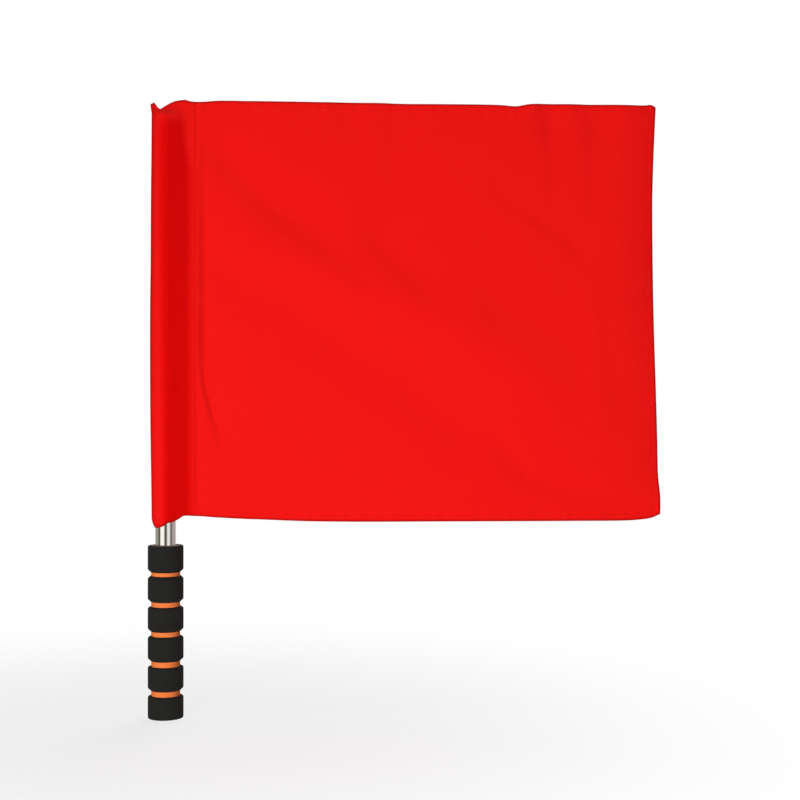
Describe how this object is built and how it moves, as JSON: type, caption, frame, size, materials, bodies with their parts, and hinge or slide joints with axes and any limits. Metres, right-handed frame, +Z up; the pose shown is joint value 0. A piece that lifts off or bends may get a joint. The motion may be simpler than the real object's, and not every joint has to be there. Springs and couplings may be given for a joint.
{
  "type": "linesman flag",
  "caption": "Hand-held signal flag: a sewn cloth panel whose pocket turns freely on a polished tube, above a grooved grip of black and orange foam.",
  "frame": {"origin": "centre of the grip's lower end face", "axes": "+Z up the tube towards the cloth's top edge, +X from the tube towards the fly edge of the panel, -Y out of the panel's front"},
  "size_m": [0.4061, 0.028, 0.4875],
  "materials": {
    "polished_steel": "polished",
    "black_plastic": "satin",
    "black_foam": "matte",
    "orange_foam": "matte",
    "red_cloth": "matte"
  },
  "bodies": {
    "pole": {"pole_tube": "polished_steel", "pole_top_plug": "black_plastic", "pole_bottom_plug": "black_plastic", "grip_core": "orange_foam", "grip_band_1": "black_foam", "grip_band_2": "black_foam", "grip_band_3": "black_foam", "grip_band_4": "black_foam", "grip_band_5": "black_foam", "grip_band_6": "black_foam"},
    "flag": {"pole_pocket": "red_cloth", "flag_panel": "red_cloth"}
  },
  "joints": [
    {"name": "flag_spin", "type": "hinge", "parent": "pole", "child": "flag", "pos_m": [0, 0, 0.3], "axis": [0, 0, 1], "continuous": true}
  ]
}
